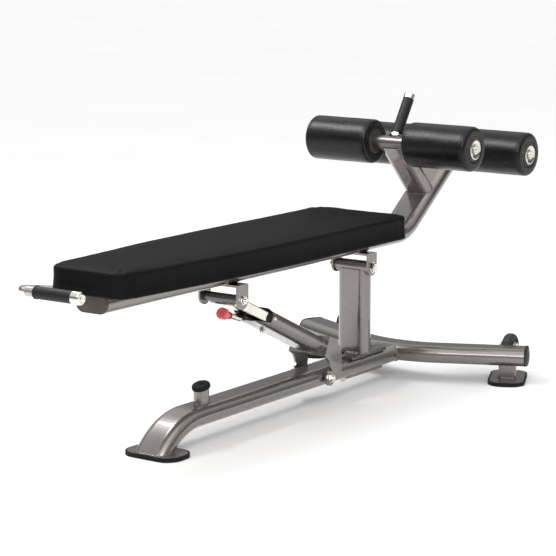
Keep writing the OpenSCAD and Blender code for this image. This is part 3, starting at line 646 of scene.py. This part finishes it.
def rollers():
    """The four covers, each with its own soft unevenness and its lengthwise seam turned its own way."""
    shape, faces = roller_shape()
    x, y, z = shape[:, 0], shape[:, 1], shape[:, 2]
    spin, radius = np.arctan2(y, x), np.hypot(x, y)
    wall = np.clip((radius - 50) / 10, 0, 1)
    inner = np.clip((ROLLER_LEN / 2 - 16 - np.abs(z)) / 8, 0, 1)
    near_end = np.exp(-((np.abs(z) - ROLLER_LEN / 2 + 12) / 5) ** 2)
    seam = 1.1 * np.exp(-(((spin + math.pi) % (2 * math.pi) - math.pi) * ROLLER_R / 1.6) ** 2)
    for k, (axis, side, kind, seam_at) in enumerate((
            (KNEE_AXIS, 1, "knee_roller_left", 250), (KNEE_AXIS, -1, "knee_roller_right", 285),
            (FOOT_AXIS, 1, "foot_roller_left", 262), (FOOT_AXIS, -1, "foot_roller_right", 240))):
        wave = 0.25 * np.sin(3 * spin + k + z / 41) * np.cos(z / 33 + 2 * k)
        pucker = 0.30 * np.sin(spin * 46 + k) * near_end
        grow = 1 + wall * (inner * (wave - seam) + pucker) / np.maximum(radius, 1)
        c, s = math.cos(math.radians(seam_at)), math.sin(math.radians(seam_at))
        across, up = x * grow, y * grow
        turned = np.stack([across * c - up * s, z + side * (ROLLER_GAP + ROLLER_LEN / 2),
                           across * s + up * c], axis=1)
        place = Matrix.Translation((axis.x, 0, axis.z))
        obj = new_object(kind + "_cover", from_mm(turned.tolist(), place), faces, ROLLER_VINYL)
        outward(obj)
        subdivide(obj)
        body = joints[kind + "_spin"]["child"]
        finish_piece(obj, body, (kind,))


# ---------------------------------------------------------------- welds and small metal parts

# Places in the part's own source that the welds and small parts follow, in mm. Each seam runs just
# outside the tube or plate that it goes round.
BEAM_Z, BEND_X, BEND_R = 76, -442, 201
PLATE_X0, PLATE_X1, PLATE_HALF = 264, 442, 43.5
COLUMN_X, PIVOT_X, STRUT_BRACKET_X = 344, 338, -291.6
POST_X, POST_R, PIVOT_TUBE_R, ROLLER_TUBE_R = -390, 21.4, 16.6, 20.9
STABILISER_Z, STABILISER_X, REAR_FOOT_Y, REAR_FOOT_BACK = 79, 508, 328, 22
BEND_CENTRE_X, STABILISER_R = 893.9, 350
STRUT_WEB_X, KNEE_ARM_FLAT = 443.4, 17
# Heights of the seams on the foot plates, the beam, the column's plate, the column and the rail
FOOT_SEAM, BEAM_SEAM, PLATE_SEAM, PIVOT_SEAM, RAIL_SEAM = 11.4, 101.2, 109.4, 352.3, 401.6
SWEEP = math.radians(24.9)
UPRIGHT_SLOPE = math.radians(36.7)
KNEE_HANDLE_LEAN = math.radians(33)
# Metres. The pull knob's rod is placed in the strut's frame
KNEE_JOIN = Vector((0.706, 0, 0.5246))
PULL_PLACE, PULL_TILT = Vector((0.0087, 0, -0.037)), math.radians(6.6)


def tube_height(flank):
    """Height of the flat-oval tube's surface above its middle plane, at a distance across it."""
    over = max(abs(flank) - TUBE_FLAT, 0)
    return math.sqrt(max(TUBE_R ** 2 - over ** 2, 0))


def turned_by(x, y, turn):
    c, s = math.cos(turn), math.sin(turn)
    return x * c - y * s, x * s + y * c


def stabiliser_seam():
    """Where the beam's end meets the stabiliser's middle bend."""
    seam = []
    for y, z in oval(100.6, 50.6):
        if y < -51:
            continue
        bulge = math.sqrt(max(TUBE_R ** 2 - (z + BEAM_Z - STABILISER_Z) ** 2, 0))
        reach = STABILISER_R + TUBE_FLAT + bulge
        seam.append((BEND_CENTRE_X - math.sqrt(reach ** 2 - y ** 2) - 0.4, y, z + BEAM_Z))
    return seam


def rear_leg_seam(side, low):
    """Round a rear leg, on its foot plate or under the stabiliser's arm."""
    seam = []
    for across, out in rounded(46.6, 52.6, 8.3):
        # the legs stand behind the middle of the arm
        back = across - REAR_FOOT_BACK
        x, y = turned_by(out, back, math.pi / 2 - SWEEP)
        z = FOOT_SEAM if low else STABILISER_Z - tube_height(back) - 0.6
        seam.append((STABILISER_X + REAR_FOOT_Y * math.tan(SWEEP) + x, side * (REAR_FOOT_Y + y), z))
    return seam


def base_welds():
    drop = BEND_R - BEAM_Z + FOOT_SEAM
    foot = [(BEND_X - math.sqrt((BEND_R + t) ** 2 - drop ** 2), y, FOOT_SEAM) for y, t in oval(99.6, 51)]
    column = [(COLUMN_X + t, y, PLATE_SEAM) for y, t in oval(101, 51)]
    runs = [(foot, 2.2, True), (column, 2.3, True)]
    for side in (-1, 1):
        runs.append(([(x, side * PLATE_HALF, BEAM_SEAM) for x in (PLATE_X0, PLATE_X1)], 1.8, False))
    runs.append((stabiliser_seam(), 2.4, True))
    post = [(POST_X + POST_R * math.cos(a), POST_R * math.sin(a), BEAM_SEAM + 0.2)
            for a in np.linspace(0, 2 * math.pi, 25)[:-1]]
    runs.append((post, 1.7, True))
    for side in (-1, 1):
        runs.append(([(PIVOT_X + side * PIVOT_TUBE_R, y, PIVOT_SEAM) for y in (-26, 26)], 2.0, False))
    for side in (-1, 1):
        for low in (True, False):
            runs.append((rear_leg_seam(side, low), 2.0, True))
    weld("base_weld_beads", runs, "base")


def roller_tube_seam(centre, direction, reach, flat, side):
    """Half way round a roller tube, where an oval tube ends on it. flat is half the width of its flats."""
    seam = []
    for a in np.linspace(math.radians(15), math.radians(165), 22):
        off = direction * reach * math.sin(a) + direction.cross(Vector((0, 1, 0))) * math.cos(a)
        rise = abs(ROLLER_TUBE_R * math.cos(a))
        y = flat + math.sqrt(max(TUBE_R ** 2 - rise ** 2, 0))
        seam.append(tuple(centre + off * ROLLER_TUBE_R + Vector((0, side * (y + 0.2), 0))))
    return seam


def bench_welds():
    slope = UPRIGHT_SLOPE
    along_upright = Vector((math.cos(slope), 0, math.sin(slope)))
    off_upright = Vector((-math.sin(slope), 0, math.cos(slope)))
    level = BENCH.inverted()
    foot, knee, join = (level @ place * 1000 for place in (FOOT_AXIS, KNEE_AXIS, KNEE_JOIN))
    foot.y = knee.y = join.y = 0
    way = (join - knee).normalized()
    square = Vector((-way.z, 0, way.x))
    arm_foot = []
    for y, t in oval(84.8, 50.8):
        p = knee + square * t + Vector((0, y, 0))
        s = ((foot - p).dot(off_upright) + tube_height(y)) / way.dot(off_upright)
        arm_foot.append(tuple(p + way * s + off_upright * 0.2))
    runs = [(arm_foot, 2.3, True)]
    roller_tubes = ((foot, along_upright, -1, TUBE_FLAT), (knee, way, 1, KNEE_ARM_FLAT))
    for centre, direction, reach, flat in roller_tubes:
        for side in (-1, 1):
            runs.append((roller_tube_seam(centre, direction, reach, flat, side), 2.0, False))
    for x, width in ((PIVOT_X, 46), (STRUT_BRACKET_X, 48)):
        for side in (-1, 1):
            edge = x + side * (width / 2 + 0.4)
            runs.append(([(edge, y, RAIL_SEAM) for y in (-24, 24)], 2.0, False))
    weld("bench_weld_beads", runs, "bench", BENCH)


def strut_welds():
    web = [(STRUT_WEB_X, y, t) for y, t in oval(99.6, 49.6)]
    weld("strut_weld_beads", [(web, 2.2, True)], "strut_outer", STRUT)


def small_parts():
    pull = STRUT @ Matrix.Translation(PULL_PLACE) @ Matrix.Rotation(math.pi / 2 - PULL_TILT, 4, "Y")
    lathe("pull_knob_ring",
          [(3.4, 30.6), (9.6, 30.6), (10.2, 31.2), (10.2, 33.0), (9.6, 33.6), (3.4, 33.6)],
          pull, "black_plastic", "strut_outer")
    side = STRUT @ Matrix.Translation((0.182, -0.0502, 0.004)) @ Matrix.Rotation(math.pi / 2, 4, "X")
    lathe("collar_screw", [(0, 2.6), (2.2, 2.6), (4.4, 1.9), (5.6, 0.7), (5.8, -0.2)],
          side, "chrome", "strut_outer")
    knee = Matrix.Translation(BENCH.inverted() @ KNEE_AXIS)
    lean = BENCH @ knee @ Matrix.Rotation(KNEE_HANDLE_LEAN, 4, "Y")
    lathe("knee_handle_collar",
          [(12.2, 19), (19.5, 18), (20, 22), (19.2, 24.5), (16.6, 25.5),
           (16.6, 29.5), (15.4, 31), (12.2, 31)],
          lean, "chrome", "bench")


def hem_staples():
    """Staples that hold the cover's hem to the board, left out where the rail runs under it."""
    inset, pace, reach, thick = 24, 26, 5, 0.6
    hem = evenly([(x, y, 0) for x, y in pad_ring(inset)], pace, True)
    verts, faces = [], []
    for a, b in zip(hem, hem[1:] + hem[:1]):
        along_hem = (b - a).normalized()
        inwards = Vector((-along_hem.y, along_hem.x, 0))
        centre = a.lerp(b, 0.5) + inwards * random.uniform(-1.5, 1.5)
        if abs(centre.y) < 52 and centre.x > 200:
            continue
        way = (along_hem + inwards * random.uniform(-0.2, 0.2)).normalized()
        across = Vector((-way.y, way.x, 0))
        start = len(verts)
        for i in (-1, 1):
            for j in (-1, 1):
                for z in (BOARD_UNDER - 2.0, BOARD_UNDER - 0.8):
                    verts.append(centre + way * reach * i + across * thick * j + Vector((0, 0, z)))
        for face in ((0, 1, 3, 2), (4, 6, 7, 5), (0, 4, 5, 1), (2, 3, 7, 6), (0, 2, 6, 4), (1, 5, 7, 3)):
            faces.append(tuple(start + i for i in face))
    obj = new_object("hem_staples", from_mm(verts, BENCH), faces, MATERIALS["chrome"], smooth=False)
    outward(obj)
    finish_piece(obj, "bench")


def two_tone(node, second, chosen):
    """Gives a CAD node a second material on the faces whose centre is chosen."""
    mesh = nodes[node].data
    mesh.materials.append(second)
    to_world = nodes[node].matrix_world
    for face in mesh.polygons:
        face.material_index = 1 if chosen(to_world @ face.center) else 0


def on_pull_rod(point):
    """Behind the red knob, on its rod or release blade."""
    p = STRUT.inverted() @ point - PULL_PLACE
    return p.x * math.cos(PULL_TILT) + p.z * math.sin(PULL_TILT) > 0.0302


def on_sleeve_tongue(point):
    return (STRUT.inverted() @ point).x < 0.1675


def on_handle_leg(point):
    return point.y > 0.095


def in_dish(point):
    """In the narrow ring round the bolt of a roller's end cap."""
    distance = min(math.hypot(point.x - axis.x, point.z - axis.z) for axis in (KNEE_AXIS, FOOT_AXIS))
    return 0.0141 < distance < 0.0149 and abs(point.y) > 0.273


two_tone("pull_knob", DARK_STEEL, on_pull_rod)
two_tone("strut_sleeve", MATERIALS["foot_plate_paint"], on_sleeve_tongue)
two_tone("head_handle_tube", MATERIALS["chrome"], on_handle_leg)
two_tone("roller_end_caps", DARK_STEEL, in_dish)
cushion()
rollers()
base_welds()
bench_welds()
strut_welds()
small_parts()
hem_staples()

# ---------------------------------------------------------------- stage


def look_at(obj, target):
    direction = Vector(target) - obj.location
    obj.rotation_euler = direction.to_track_quat("-Z", "Y").to_euler()


def camera():
    heading, tilt = math.radians(35.15), math.radians(10.49)
    data = bpy.data.cameras.new("camera")
    data.sensor_width = 36
    data.lens = 140.91
    data.clip_end = 60
    cam = bpy.data.objects.new("camera", data)
    cam.location = (-4.8155, -3.3619, 1.4619)
    level = math.cos(tilt)
    forward = Vector((level * math.cos(heading), level * math.sin(heading), -math.sin(tilt)))
    cam.rotation_euler = forward.to_track_quat("-Z", "Y").to_euler()
    bpy.context.scene.collection.objects.link(cam)
    bpy.context.scene.camera = cam


def area_light(name, place, target, size, power):
    data = bpy.data.lights.new(name, "AREA")
    data.shape = "RECTANGLE"
    data.size, data.size_y = size
    data.energy = power
    lamp = bpy.data.objects.new(name, data)
    lamp.location = place
    bpy.context.scene.collection.objects.link(lamp)
    look_at(lamp, target)


def pale_floor():
    mesh = bpy.data.meshes.new("floor")
    s = 45
    mesh.from_pydata([(-s, -s, 0), (s, -s, 0), (s, s, 0), (-s, s, 0)], [], [(0, 1, 2, 3)])
    floor = bpy.data.objects.new("floor", mesh)
    bpy.context.scene.collection.objects.link(floor)
    n = Nodes("pale_floor")
    cloud = n.noise(1.2, 3)
    tone = n.ramp(cloud, [(0.3, (0.895, 0.895, 0.895)), (0.7, (0.915, 0.915, 0.915))])
    assign(floor, n.finish(tone, n.spread(cloud, 0.85, 0.95), None, Specular_IOR_Level=0.0))


def sky():
    """Pale above the horizon and dim below it."""
    world = bpy.data.worlds.new("studio")
    bpy.context.scene.world = world
    world.use_nodes = True
    tree = world.node_tree
    back = tree.nodes["Background"]
    coords = tree.nodes.new("ShaderNodeTexCoord")
    split = tree.nodes.new("ShaderNodeSeparateXYZ")
    ramp = tree.nodes.new("ShaderNodeValToRGB")
    stops = [(0.0, 0.16), (0.20, 0.20), (0.36, 0.42), (0.50, 0.85), (0.72, 0.95), (1.0, 1.0)]
    while len(ramp.color_ramp.elements) < len(stops):
        ramp.color_ramp.elements.new(0.5)
    for element, (place, tone) in zip(ramp.color_ramp.elements, stops):
        element.position = place
        element.color = (tone, tone, tone, 1)
    tree.links.new(coords.outputs["Generated"], split.inputs[0])
    tree.links.new(split.outputs["Z"], ramp.inputs["Fac"])
    tree.links.new(ramp.outputs["Color"], back.inputs["Color"])
    back.inputs["Strength"].default_value = 0.95


def lights():
    """A wide soft glow from above, a key light at the head end and a strip that lines the rollers."""
    sun = bpy.data.lights.new("sky_glow", "SUN")
    sun.energy = 1.0
    sun.angle = math.radians(80)
    lamp = bpy.data.objects.new("sky_glow", sun)
    lamp.location = (-2, -1.5, 4)
    bpy.context.scene.collection.objects.link(lamp)
    look_at(lamp, (0, 0, 0))
    area_light("key", (-2.6, -2.4, 2.6), (0, 0, 0.4), (2.6, 0.7), 42)
    area_light("strip", (-0.5, 1.1, 2.6), (0.5, -0.1, 0.6), (2.4, 0.45), 48)


def plain_colours():
    view = bpy.context.scene.view_settings
    view.view_transform = "Standard"
    view.look = "None"


camera()
pale_floor()
sky()
lights()
plain_colours()
